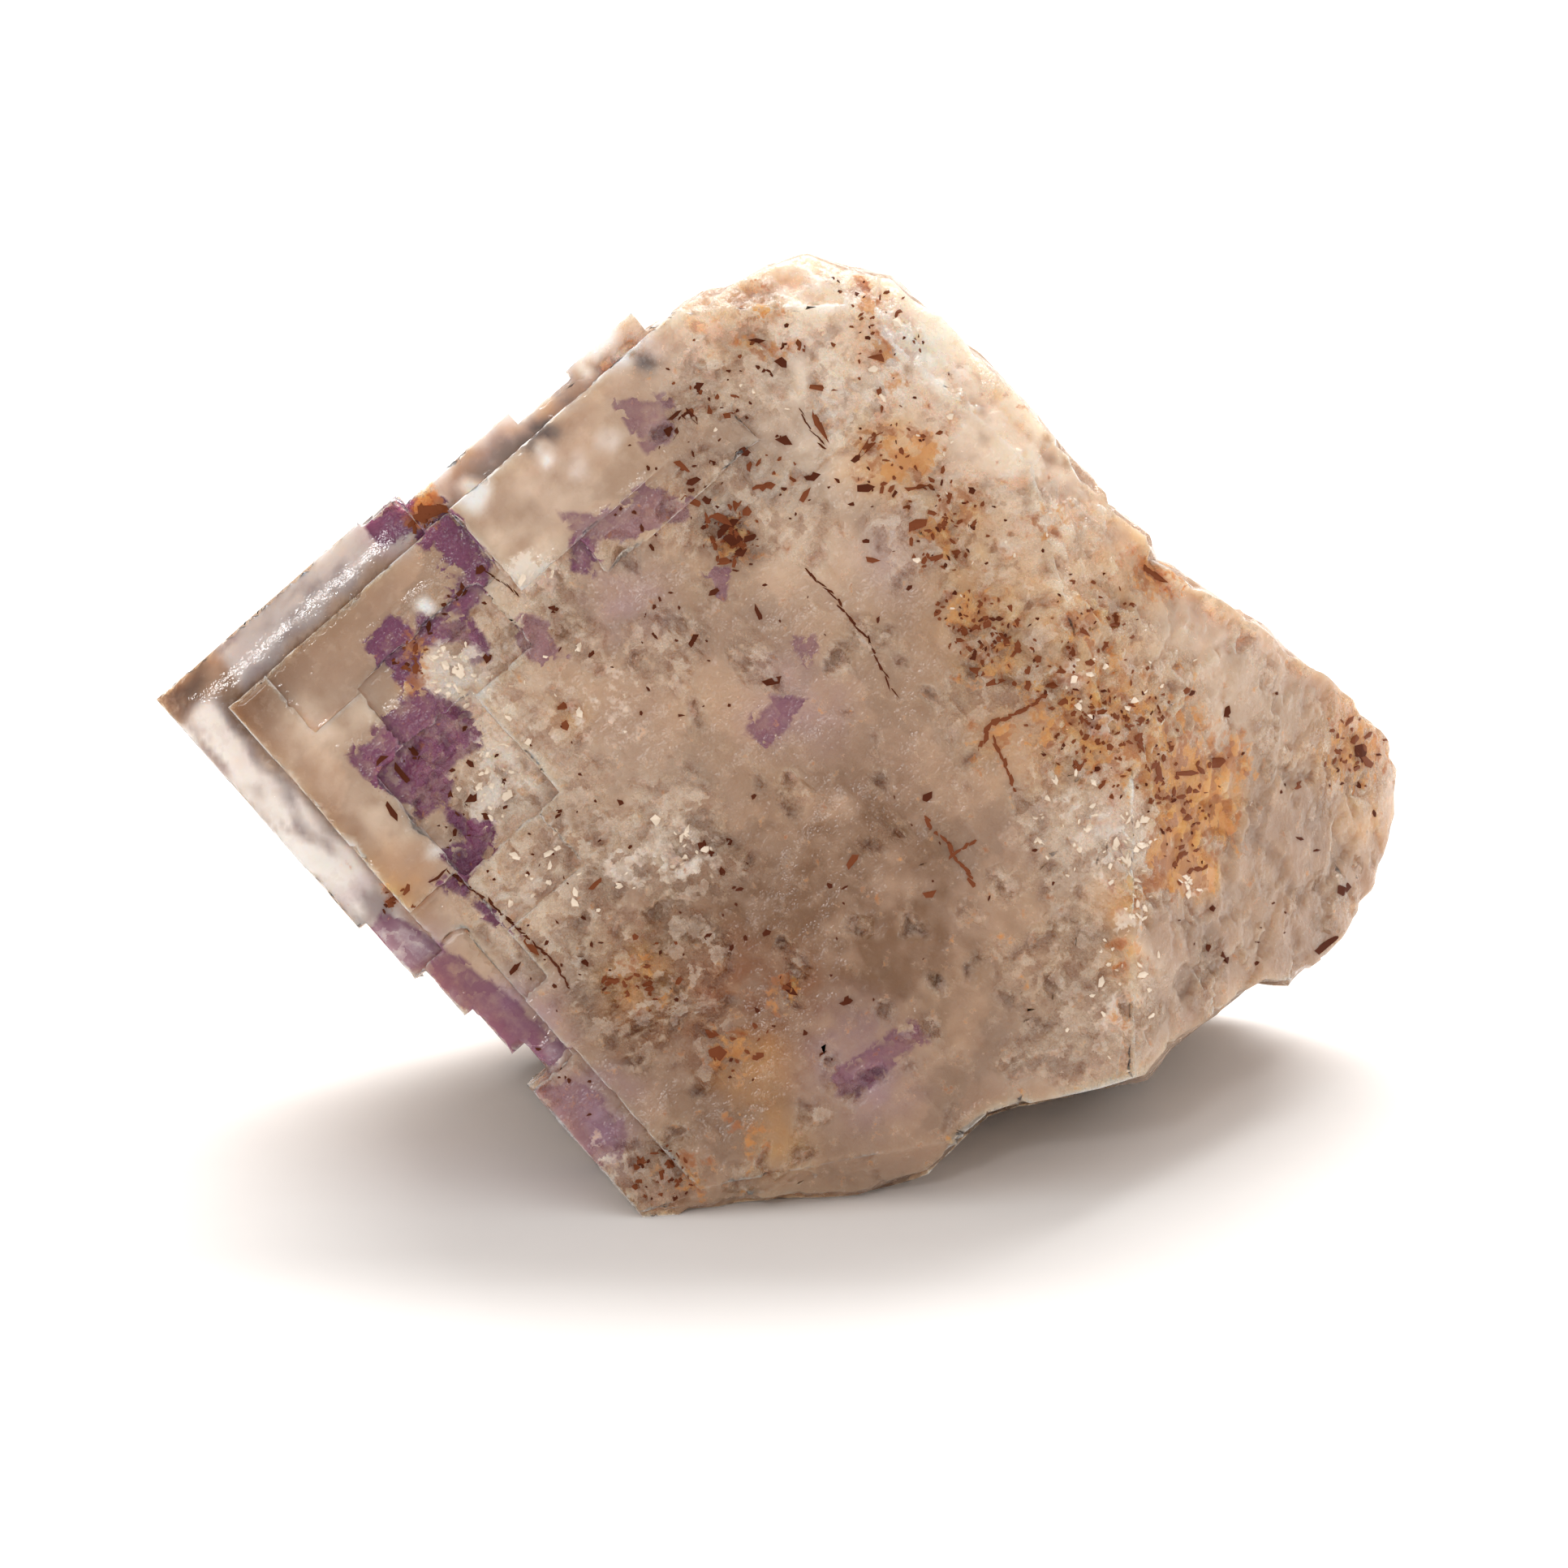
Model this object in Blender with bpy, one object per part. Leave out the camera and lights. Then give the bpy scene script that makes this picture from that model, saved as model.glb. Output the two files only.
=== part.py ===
"""A fluorite crystal broken from its matrix: one solid piece, resting on a cleaved base.

The crystal keeps one large cube face, with the stepped growth ledges of the two cube faces that meet it
at the left-hand corner. Everything else is broken: the back and the right-hand side follow the mineral's
octahedral cleavage, roughly, with an uneven fracture over it.

Sizes are in millimetres, in the crystal's own frame, whose origin is that left-hand corner of the cube face:
    rise  runs along the upper cube edge, up and to the right
    fall  runs along the lower cube edge, down and to the right
    deep  runs into the crystal, away from the viewer
"""

import math

import bmesh
import bpy
from mathutils import Matrix, Vector, noise

MM = 0.001

# How the crystal stands: its cube face turned on its corner, and leaning back from the viewer.
TURN = math.radians(41.4)
LEAN = math.radians(20.0)

# Depth of the whole crystal at its thickest, and of the cut block before it is broken.
THICKNESS = 25.0
BLOCK_SIZE = 48.0
FRONT_MARGIN = 2.0

# The upper cube edge, as (rise where a growth step starts, its set-back along fall).
UPPER_STEPS = ((0.0, 0.0), (10.7, 0.18), (12.6, 0.7), (18.1, 1.3), (20.9, 0.95), (24.5, 1.9))
# The lower cube edge, as (fall where a growth step starts, its set-back along rise).
LOWER_STEPS = ((0.0, 0.0), (12.2, 0.35), (15.2, 0.9), (17.6, 1.3), (20.0, 1.95), (21.3, 0.9), (28.6, 1.4))

# The broken outline as seen from the front, clockwise from the upper cube edge: (rise, fall).
BROKEN_OUTLINE = (
    (24.4, 1.7), (27.4, 2.0), (28.0, 2.5), (29.8, 3.0), (31.3, 3.8), (32.3, 5.2), (33.4, 6.6), (33.7, 9.2),
    (34.0, 13.4), (34.0, 16.4), (33.8, 19.6), (34.0, 21.3), (33.5, 22.2), (34.1, 23.6), (35.0, 26.7),
    (35.5, 29.4), (36.5, 32.0), (36.8, 34.5), (36.4, 35.8), (35.0, 37.1), (33.5, 38.1), (32.0, 38.8),
    (28.6, 39.0), (26.6, 38.9), (25.9, 37.8), (21.2, 37.2), (19.7, 37.4), (18.0, 36.7), (15.1, 35.1),
    (13.9, 34.7), (10.6, 34.6), (7.9, 33.4), (5.3, 31.2), (3.0, 29.7), (2.4, 29.35), (1.4, 29.3),
)
# The same outline goes on past the cube faces here, where the crystal's own faces bound it.
PAST_THE_FACES = ((-6.0, 29.3), (-6.0, -6.0), (24.4, -6.0))

# Flat breaks, as (a point on it, its outward direction), both (rise, fall, deep).
FRONT_BREAKS = (
    ((54.9, 0.0, 0.0), (1.0, 1.0, -1.0)),
    ((31.0, 20.0, 0.5), (1.0, 0.45, -1.2)),
    ((21.0, 12.0, -0.55), (0.085, -0.02, -1.0)),
    ((16.0, 24.0, -0.25), (0.03, 0.13, -1.0)),
    ((33.0, 14.0, 0.9), (0.75, -0.1, -1.0)),
    ((30.0, 4.6, 0.8), (0.55, -0.6, -0.9)),
    ((7.0, 32.3, 1.3), (-0.35, 0.75, -0.85)),
)
BACK_BREAKS = (
    ((0.0, 0.0, 12.5), (-1.0, -1.0, 1.0)),
    ((31.0, 4.0, 9.0), (1.0, -1.0, 1.0)),
    ((36.0, 35.5, 20.0), (1.0, 1.0, 1.0)),
    ((18.0, 22.0, 25.0), (0.10, -0.16, 1.0)),
    ((10.0, 10.0, 21.0), (-0.30, -0.42, 1.0)),
    ((27.0, 24.0, 23.4), (0.42, 0.08, 1.0)),
    ((1.4, 22.0, 17.0), (-1.0, 0.15, 0.8)),
    ((14.0, 1.5, 15.0), (-0.1, -1.0, 0.75)),
)
# A point of the level face that the crystal rests on.
BASE_POINT = (2.5, 29.4, 1.2)

# The break narrows towards the back and a little towards the front of its widest section.
WIDEST_DEPTH = 7.0
BREAK_CENTRE = (18.0, 19.5)
NARROWING_BACK = 0.12
NARROWING_FRONT = 0.012

# The uneven fracture: (size of its swells, their height), coarse and fine, and the mesh that carries it.
FRACTURE = ((6.5, 0.55), (2.1, 0.24))
FRACTURE_MESH = 1.75
SHALLOW_SHARE = 0.45

# Ledges cut along the cube face's two outer edges: the rim that frames the raised middle of the face.
RIM_DEPTH = 0.75
LEDGES = (
    {"rise": (-3.0, 12.45), "fall": (-3.0, 2.15), "deep": (-3.0, RIM_DEPTH)},
    {"rise": (-3.0, 1.95), "fall": (-3.0, 15.05), "deep": (-3.0, RIM_DEPTH)},
    {"rise": (-3.0, 3.1), "fall": (14.9, 21.6), "deep": (-3.0, 0.45)},
    {"rise": (-3.0, 3.3), "fall": (21.4, 32.2), "deep": (-3.0, 0.3)},
    {"rise": (12.3, 30.0), "fall": (-3.0, 2.05), "deep": (-3.0, 0.5)},
)

# Shallow growth terraces of the middle of the face, sunk into it.
TERRACES = (
    {"rise": (3.9, 13.7), "fall": (1.9, 5.2), "deep": (-3.0, 0.22)},
    {"rise": (6.3, 12.6), "fall": (5.0, 8.3), "deep": (-3.0, 0.38)},
    {"rise": (4.6, 9.6), "fall": (8.1, 13.4), "deep": (-3.0, 0.55)},
    {"rise": (1.8, 4.4), "fall": (13.1, 18.6), "deep": (-3.0, 0.32)},
    {"rise": (4.2, 8.4), "fall": (13.2, 16.2), "deep": (-3.0, 0.16)},
)
# The smooth plate that stands proud of the face along its upper edge.
PLATES = (
    {"rise": (13.8, 27.0), "fall": (1.3, 6.4), "deep": (-0.42, 3.0)},
    {"rise": (16.8, 25.0), "fall": (6.0, 8.2), "deep": (-0.24, 3.2)},
)

# Low slabs of stepped growth on the two side faces: (start and end along the edge, start and end in depth,
# how far the slab sets the face back).
UPPER_SIDE_SLABS = (
    (-3.0, 4.3, 5.3, 12.1, 0.35), (4.1, 10.6, 8.2, 20.3, 0.55), (10.75, 13.9, 3.1, 7.4, 0.85),
    (12.8, 18.9, 9.6, 20.1, 1.45), (18.3, 26.2, 5.1, 11.2, 1.75), (-3.1, 3.1, 11.8, 24.2, 0.8),
)
LOWER_SIDE_SLABS = (
    (-3.2, 5.4, 7.1, 14.2, 0.42), (5.6, 12.1, 4.4, 10.9, 0.3), (7.9, 15.1, 10.7, 22.4, 0.87),
    (15.4, 21.1, 6.6, 13.3, 2.2), (21.5, 26.1, 4.9, 9.7, 1.45), (23.9, 32.3, 9.3, 22.1, 2.05),
)

FLUORITE_COLOUR = (0.60, 0.52, 0.45, 1.0)
FLUORITE_ROUGHNESS = 0.35


def at(rise, fall, deep):
    """A point of the crystal's frame, in metres: X is rise, Y is deep and Z is against fall."""
    return Vector((rise, deep, -fall)) * MM


def towards(rise, fall, deep):
    """A unit direction of the crystal's frame."""
    return Vector((rise, deep, -fall)).normalized()


def stands_as():
    """The turn that carries the crystal's frame to the way it stands."""
    return Matrix.Rotation(-LEAN, 4, "X") @ Matrix.Rotation(-TURN, 4, "Y")


def clear_scene():
    for obj in list(bpy.data.objects):
        bpy.data.objects.remove(obj)


def new_collection(name):
    collection = bpy.data.collections.new(name)
    bpy.context.scene.collection.children.link(collection)
    return collection


def new_object(name, mesh, collection):
    obj = bpy.data.objects.new(name, mesh)
    collection.objects.link(obj)
    return obj


def as_cutter(obj):
    obj.hide_render = True
    obj.display_type = "WIRE"
    return obj


def box_mesh(name, rise, fall, deep):
    """A box between the given pairs of limits, in millimetres of the crystal's frame."""
    low = at(min(rise), max(fall), min(deep))
    high = at(max(rise), min(fall), max(deep))
    bm = bmesh.new()
    bmesh.ops.create_cube(bm, size=1.0)
    size = high - low
    bmesh.ops.scale(bm, vec=size, verts=bm.verts)
    bmesh.ops.translate(bm, vec=(low + high) / 2, verts=bm.verts)
    mesh = bpy.data.meshes.new(name)
    bm.to_mesh(mesh)
    bm.free()
    return mesh


def slab_from_outline(name, points, deep_from, deep_to, collection):
    """A flat slab with the given outline of (rise, fall) points, between two depths."""
    curve = bpy.data.curves.new(name, "CURVE")
    curve.dimensions = "2D"
    curve.fill_mode = "BOTH"
    curve.extrude = (deep_to - deep_from) / 2 * MM
    spline = curve.splines.new("POLY")
    spline.points.add(len(points) - 1)
    for point, (rise, fall) in zip(spline.points, points):
        point.co = (rise * MM, -fall * MM, 0.0, 1.0)
    spline.use_cyclic_u = True
    drawn = new_object(name + "_outline", curve, collection)
    drawn.rotation_euler = (math.radians(90), 0, 0)
    drawn.location = (0, (deep_from + deep_to) / 2 * MM, 0)
    bpy.context.view_layer.update()
    graph = bpy.context.evaluated_depsgraph_get()
    mesh = bpy.data.meshes.new_from_object(drawn.evaluated_get(graph))
    mesh.transform(drawn.matrix_world)
    bpy.data.objects.remove(drawn)
    bm = bmesh.new()
    bm.from_mesh(mesh)
    bmesh.ops.remove_doubles(bm, verts=bm.verts, dist=0.00001)
    bmesh.ops.dissolve_limit(bm, angle_limit=math.radians(0.5), verts=bm.verts, edges=bm.edges)
    bmesh.ops.recalc_face_normals(bm, faces=bm.faces)
    bm.to_mesh(mesh)
    bm.free()
    mesh.name = name
    return mesh


def cleave(bm, point, direction):
    """Breaks off what lies outside a plane, and closes the flat break."""
    cut = bmesh.ops.bisect_plane(
        bm,
        geom=bm.verts[:] + bm.edges[:] + bm.faces[:],
        dist=0.000001,
        plane_co=point,
        plane_no=direction,
        clear_outer=True,
    )
    rim = [item for item in cut["geom_cut"] if isinstance(item, bmesh.types.BMEdge)]
    bmesh.ops.holes_fill(bm, edges=rim, sides=0)


def refine(bm, longest):
    """Splits the longest edges again and again, until the mesh is even enough to be roughened."""
    bmesh.ops.triangulate(bm, faces=bm.faces)
    while True:
        long_edges = [edge for edge in bm.edges if edge.calc_length() > longest]
        if not long_edges:
            break
        bmesh.ops.subdivide_edges(bm, edges=long_edges, cuts=1)
        bmesh.ops.triangulate(bm, faces=[face for face in bm.faces if len(face.verts) > 3])


def narrowed(co):
    """A point of the break, drawn in towards the middle the further it is from the widest section."""
    from_widest = co.y / MM - WIDEST_DEPTH
    if from_widest > 0:
        share = 1 - NARROWING_BACK * (from_widest / (THICKNESS - WIDEST_DEPTH)) ** 2
    else:
        share = 1 - NARROWING_FRONT * (from_widest / WIDEST_DEPTH) ** 2
    centre = at(*BREAK_CENTRE, 0.0)
    return Vector((centre.x + (co.x - centre.x) * share, co.y, centre.z + (co.z - centre.z) * share))


def fracture_height(co, facing_front):
    """How far the uneven fracture stands out at a point. It is shallower where the break faces the viewer."""
    height = 0.0
    for size, swell in FRACTURE:
        height += swell * noise.noise(co / (size * MM))
    return height * MM * (SHALLOW_SHARE if facing_front else 1.0)


def broken_chunk(collection):
    """The shape of the break: flat cleavages under an uneven fracture."""
    outline = BROKEN_OUTLINE + PAST_THE_FACES
    mesh = slab_from_outline("broken_chunk", outline, -FRONT_MARGIN, THICKNESS + 3.0, collection)
    bm = bmesh.new()
    bm.from_mesh(mesh)
    for point, direction in FRONT_BREAKS + BACK_BREAKS:
        cleave(bm, at(*point), towards(*direction))
    refine(bm, FRACTURE_MESH * MM)
    bm.normal_update()
    moved = {}
    for vert in bm.verts:
        facing_front = vert.normal.y < -0.5
        out = vert.normal * fracture_height(vert.co, facing_front)
        moved[vert] = narrowed(vert.co) + out
    for vert, co in moved.items():
        vert.co = co
    down = stands_as().inverted().to_3x3() @ Vector((0, 0, -1))
    cleave(bm, at(*BASE_POINT), down)
    bmesh.ops.recalc_face_normals(bm, faces=bm.faces)
    bm.to_mesh(mesh)
    bm.free()
    return as_cutter(new_object("broken_chunk", mesh, collection))


def stepped_outline():
    """The corner of the cube face with the growth steps along both of its edges, as (rise, fall) points."""
    points = []
    ends = [start for start, _ in UPPER_STEPS[1:]] + [BLOCK_SIZE]
    for (start, set_back), end in zip(UPPER_STEPS, ends):
        points += [(start, set_back), (end, set_back)]
    points.append((BLOCK_SIZE, BLOCK_SIZE))
    ends = [start for start, _ in LOWER_STEPS[1:]] + [BLOCK_SIZE]
    lower = []
    for (start, set_back), end in zip(LOWER_STEPS, ends):
        lower += [(set_back, start), (set_back, end)]
    return points + lower[:0:-1]


def side_slab_boxes():
    """The boxes that set parts of the two side faces back."""
    for start, end, near, far, set_back in UPPER_SIDE_SLABS:
        yield {"rise": (start, end), "fall": (-3.0, set_back), "deep": (near, far)}
    for start, end, near, far, set_back in LOWER_SIDE_SLABS:
        yield {"rise": (-3.0, set_back), "fall": (start, end), "deep": (near, far)}


def boolean(obj, operation, other):
    modifier = obj.modifiers.new(operation.lower() + "_" + other.name, "BOOLEAN")
    modifier.operation = operation
    modifier.object = other


def main():
    clear_scene()
    crystal_set = new_collection("fluorite")
    cutters = new_collection("cutters")

    mesh = slab_from_outline("fluorite_crystal", stepped_outline(), 0.0, BLOCK_SIZE, cutters)
    crystal = new_object("fluorite_crystal", mesh, crystal_set)

    cuts = [*LEDGES, *TERRACES, *side_slab_boxes()]
    for number, limits in enumerate(PLATES):
        plate = new_object(f"plate_{number}", box_mesh(f"plate_{number}", **limits), cutters)
        boolean(crystal, "UNION", as_cutter(plate))
    for number, limits in enumerate(cuts):
        cutter = new_object(f"step_{number}", box_mesh(f"step_{number}", **limits), cutters)
        boolean(crystal, "DIFFERENCE", as_cutter(cutter))
    boolean(crystal, "INTERSECT", broken_chunk(cutters))

    material = bpy.data.materials.new("fluorite")
    material.use_nodes = True
    shader = material.node_tree.nodes["Principled BSDF"]
    shader.inputs["Base Color"].default_value = FLUORITE_COLOUR
    shader.inputs["Roughness"].default_value = FLUORITE_ROUGHNESS
    crystal.data.materials.append(material)

    settle(crystal)


def settle(crystal):
    """Stands the crystal on its base, centred over the origin."""
    for obj in bpy.data.objects:
        obj.matrix_world = stands_as() @ obj.matrix_world
    bpy.context.view_layer.update()
    graph = bpy.context.evaluated_depsgraph_get()
    whole = crystal.evaluated_get(graph)
    corners = [whole.matrix_world @ vert.co for vert in whole.to_mesh().vertices]
    whole.to_mesh_clear()
    low = Vector([min(co[axis] for co in corners) for axis in range(3)])
    high = Vector([max(co[axis] for co in corners) for axis in range(3)])
    shift = Vector(((low.x + high.x) / 2, (low.y + high.y) / 2, low.z))
    for obj in bpy.data.objects:
        obj.matrix_world = Matrix.Translation(-shift) @ obj.matrix_world


main()
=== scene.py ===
"""A broken fluorite crystal standing on a white table.

One large cube face looks at the viewer, with the clear stepped corner of the cube at the left. The middle of
the face is milky and etched, with right-angled purple growth zones and rust stains, and the rest is broken.
"""

import math
import random

import bmesh
import bpy
from mathutils import Matrix, Vector, noise
from mathutils.bvhtree import BVHTree


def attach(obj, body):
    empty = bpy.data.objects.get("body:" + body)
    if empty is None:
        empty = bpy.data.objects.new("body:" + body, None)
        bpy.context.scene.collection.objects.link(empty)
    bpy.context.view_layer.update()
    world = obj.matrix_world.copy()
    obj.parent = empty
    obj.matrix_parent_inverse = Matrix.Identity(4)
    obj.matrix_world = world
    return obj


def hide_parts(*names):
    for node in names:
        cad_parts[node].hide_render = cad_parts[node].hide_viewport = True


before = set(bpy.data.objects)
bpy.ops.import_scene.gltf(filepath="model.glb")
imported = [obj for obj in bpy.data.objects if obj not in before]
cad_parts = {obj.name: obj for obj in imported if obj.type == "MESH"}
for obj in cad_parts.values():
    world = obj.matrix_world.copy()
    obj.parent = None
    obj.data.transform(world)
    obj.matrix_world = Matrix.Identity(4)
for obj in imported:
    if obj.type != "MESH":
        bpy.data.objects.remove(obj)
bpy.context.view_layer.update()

# The crystal's shape
# One piece of fluorite, grown as a cube and broken out of its matrix. The solid already has the stepped
# corner and the flat breaks. Here its skin is divided finely and gets the relief of etching and breaking.
# Its frame is the cube's: rise and fall run along the cube face's two outer edges, and deep runs into it.
MM = 0.001
STANDING = (
    Matrix.Translation(Vector((-24.9193, -8.5645, 19.5801)) * MM)
    @ Matrix.Rotation(math.radians(-20.0), 4, "X")
    @ Matrix.Rotation(math.radians(-41.4), 4, "Y")
)
SEEN_FACET = 0.32 * MM
HIDDEN_FACET = 0.6 * MM
SEEN_FROM_FRONT = -0.35
ALMOST_FLAT = math.radians(0.2)
SHARP_EDGE = math.radians(32.0)
WELDED = 0.004 * MM

# Parts of the cube face that kept their polish: (rise from, rise to, fall from, fall to), in millimetres.
POLISHED_PARTS = (
    (-2.0, 4.3, -2.0, 13.3), (-2.0, 7.6, -2.0, 6.5), (-2.0, 11.4, -2.0, 3.7),
    (13.9, 21.4, 0.5, 6.2), (-2.0, 3.4, 13.0, 20.6),
)


def in_millimetres(co):
    """Rise, deep and fall of a point of the crystal's mesh."""
    return co.x / MM, co.y / MM, -co.z / MM


def smooth_step(low, high, value):
    share = min(max((value - low) / (high - low), 0.0), 1.0)
    return share * share * (3.0 - 2.0 * share)


def polish_at(rise, fall):
    """How far a point of the cube face is within its polished parts, from 0 to 1."""
    inside = max(min(rise - a, b - rise, fall - c, d - fall) for a, b, c, d in POLISHED_PARTS)
    return smooth_step(-0.25, 0.35, inside)


def divide_skin(skin):
    """Divides the skin until no edge is longer than a facet, with small facets where the front is seen."""
    bmesh.ops.dissolve_limit(skin, angle_limit=ALMOST_FLAT, verts=skin.verts, edges=skin.edges)
    bmesh.ops.triangulate(skin, faces=skin.faces)
    rounds, evened_rounds, level = 6, (2, 4), 0.01
    for turn in range(rounds):
        skin.normal_update()
        if turn in evened_rounds:
            flat = [edge for edge in skin.edges if edge.is_manifold and edge.calc_face_angle() < level]
            bmesh.ops.beautify_fill(skin, faces=skin.faces, edges=flat)
            skin.normal_update()
        long_edges = []
        for edge in skin.edges:
            seen = any(face.normal.y < SEEN_FROM_FRONT for face in edge.link_faces)
            if edge.calc_length() > (SEEN_FACET if seen else HIDDEN_FACET):
                long_edges.append(edge)
        if not long_edges:
            break
        bmesh.ops.subdivide_edges(skin, edges=long_edges, cuts=1)
        bmesh.ops.triangulate(skin, faces=[face for face in skin.faces if len(face.verts) > 3])


# Where the cube face is pitted and crumbly, as (rise, fall, reach): elsewhere it is a smooth frosted skin.
CRUMBLY_PATCHES = (
    (8.5, 11.5, 3.6), (6.5, 16.0, 3.8), (24.8, 28.8, 3.2), (28.0, 15.5, 2.6), (27.0, 21.5, 2.6),
    (30.0, 9.0, 2.6), (22.2, 9.5, 2.6), (12.0, 18.0, 2.6), (7.5, 21.0, 3.4), (10.6, 8.0, 2.6),
    (28.4, 26.0, 3.4), (26.6, 4.8, 3.0), (35.0, 33.5, 2.2), (2.4, 27.5, 1.8), (14.6, 7.0, 1.6),
    (20.0, 33.5, 3.0), (16.5, 12.0, 1.6), (30.5, 19.0, 2.8),
)


def crumbly_at(place, rise, fall):
    """How pitted and crumbly the skin is at a point, from 0 to 1."""
    nearest = max(1.0 - math.hypot(rise - a, fall - c) / (1.3 * reach) for a, c, reach in CRUMBLY_PATCHES)
    wander = noise.noise(place * 0.45) + 0.6 * noise.noise(place * 1.1)
    return max(smooth_step(0.0, 0.35, nearest + 0.45 * wander), smooth_step(0.25, 0.5, wander))


def grain_height(place, size, lean, metric="DISTANCE"):
    """The grain that a point is in: each stands at its own height and leans its own way."""
    _, middles = noise.voronoi(place / size, distance_metric=metric)
    middle = middles[0]
    tilt = noise.cell_vector(middle * 31.7) - Vector((0.5, 0.5, 0.5))
    return noise.cell(middle * 17.3) + lean * tilt.dot(place / size - middle)


# The blocks that etching and breaking left, large and small: (height, size, lean), in millimetres.
ETCHED_BLOCKS = ((0.15, 1.3, 0.5), (0.11, 0.65, 0.7))
BROKEN_BLOCKS = ((0.18, 3.0, 1.0), (0.10, 1.2, 0.8))


def blocks_height(place, blocks):
    """The height of square-sided blocks at a point, the small ones on the large."""
    return sum(height * grain_height(place, size, lean, "CHEBYCHEV") for height, size, lean in blocks)


def relief_of(place, out, side_face, polish, crumbly):
    """How deep the skin is eaten in at a point, in millimetres."""
    if side_face:
        striation = noise.noise(Vector((place.x * 0.35, place.y * 2.6, place.z * 0.35)))
        return 0.03 + 0.03 * striation + 0.08 * smooth_step(0.3, 0.6, noise.noise(place * 0.5))
    if out.y < -0.8:
        pits = blocks_height(place, ETCHED_BLOCKS)
        pits += 0.22 * smooth_step(0.15, 0.45, noise.noise(place * 1.1)) + 0.10
        frost = 0.05 * (noise.noise(place * 0.8) + 0.6) + 0.05 * grain_height(place, 2.1, 1.2, "CHEBYCHEV")
        eaten = frost + (pits - frost) * crumbly
        return eaten * (1.0 - polish) + 0.015 * (noise.noise(place * 0.6) + 1.0) * polish
    eaten = blocks_height(place, BROKEN_BLOCKS) + 0.12 * (noise.noise(place * 0.9) + 0.5)
    return eaten + 0.14 * crumbly * grain_height(place, 0.7, 0.6)


# The sunk rim falls away to the cube's outer edges: how far, over what width, and where along each edge.
RIM_DROP = 0.38
LOWER_RIM = (1.7, 0.9, 15.0)
UPPER_RIM = (1.8, 0.9, 12.4)


def rim_drop(across, along, rim):
    """How far one side of the sunk rim falls away at a point, in millimetres."""
    width, first, last = rim
    return RIM_DROP * (1.0 - min(across / width, 1.0)) ** 2 if first < along < last else 0.0


skin = bmesh.new()
skin.from_mesh(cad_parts["fluorite_crystal"].data)
skin.transform(STANDING.inverted())
bmesh.ops.remove_doubles(skin, verts=skin.verts, dist=WELDED)
divide_skin(skin)
skin.normal_update()

CUBE_SIDE, SIDE_POLISH, RIM_STEP = 0.93, 0.8, 0.6
LEVEL_WITH_BASE = 0.9995
down = (STANDING.inverted().to_3x3() @ Vector((0.0, 0.0, -1.0))).normalized()
seen_front, polished, crumbled, moved = [], [], [], []
for vert in skin.verts:
    rise, deep, fall = in_millimetres(vert.co)
    place, out = vert.co / MM, vert.normal
    on_front = out.y < -0.5
    side_face = out.x < -CUBE_SIDE or out.z > CUBE_SIDE
    if on_front:
        polish = polish_at(rise, fall) * smooth_step(-0.7, -0.95, out.y)
    else:
        polish = SIDE_POLISH if side_face else 0.0
    touches_base = any(face.normal.dot(down) > LEVEL_WITH_BASE for face in vert.link_faces)
    seen_front.append(smooth_step(0.05, 0.5, -out.y))
    crumbly = crumbly_at(place, rise, fall) * (1.0 - polish)
    if side_face and min(rise, fall) > RIM_STEP:
        polish, crumbly = 0.0, 0.5
    polished.append(polish)
    crumbled.append(crumbly)
    eaten = 0.0 if touches_base else max(relief_of(place, out, side_face, polish, crumbly), 0.0)
    sunk = max(rim_drop(rise, fall, LOWER_RIM), rim_drop(fall, rise, UPPER_RIM)) if on_front else 0.0
    moved.append(vert.co - out * eaten * MM + Vector((0.0, sunk, 0.0)) * MM)
for vert, co in zip(skin.verts, moved):
    vert.co = co

places = [in_millimetres(vert.co) for vert in skin.verts]
surface = BVHTree.FromBMesh(skin)
skin.transform(STANDING)
crystal_mesh = bpy.data.meshes.new("crystal")
skin.to_mesh(crystal_mesh)
skin.free()
crystal_mesh.shade_smooth()
crystal_mesh.set_sharp_from_angle(angle=SHARP_EDGE)
crystal = bpy.data.objects.new("crystal", crystal_mesh)
bpy.context.scene.collection.objects.link(crystal)

# The crystal's marks
# Growth zones are purple layers, parallel to the cube's faces, where the growing crystal took up other
# elements. Rust is iron oxide that crept in along cracks. The skin is white where it is bruised or etched.

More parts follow.
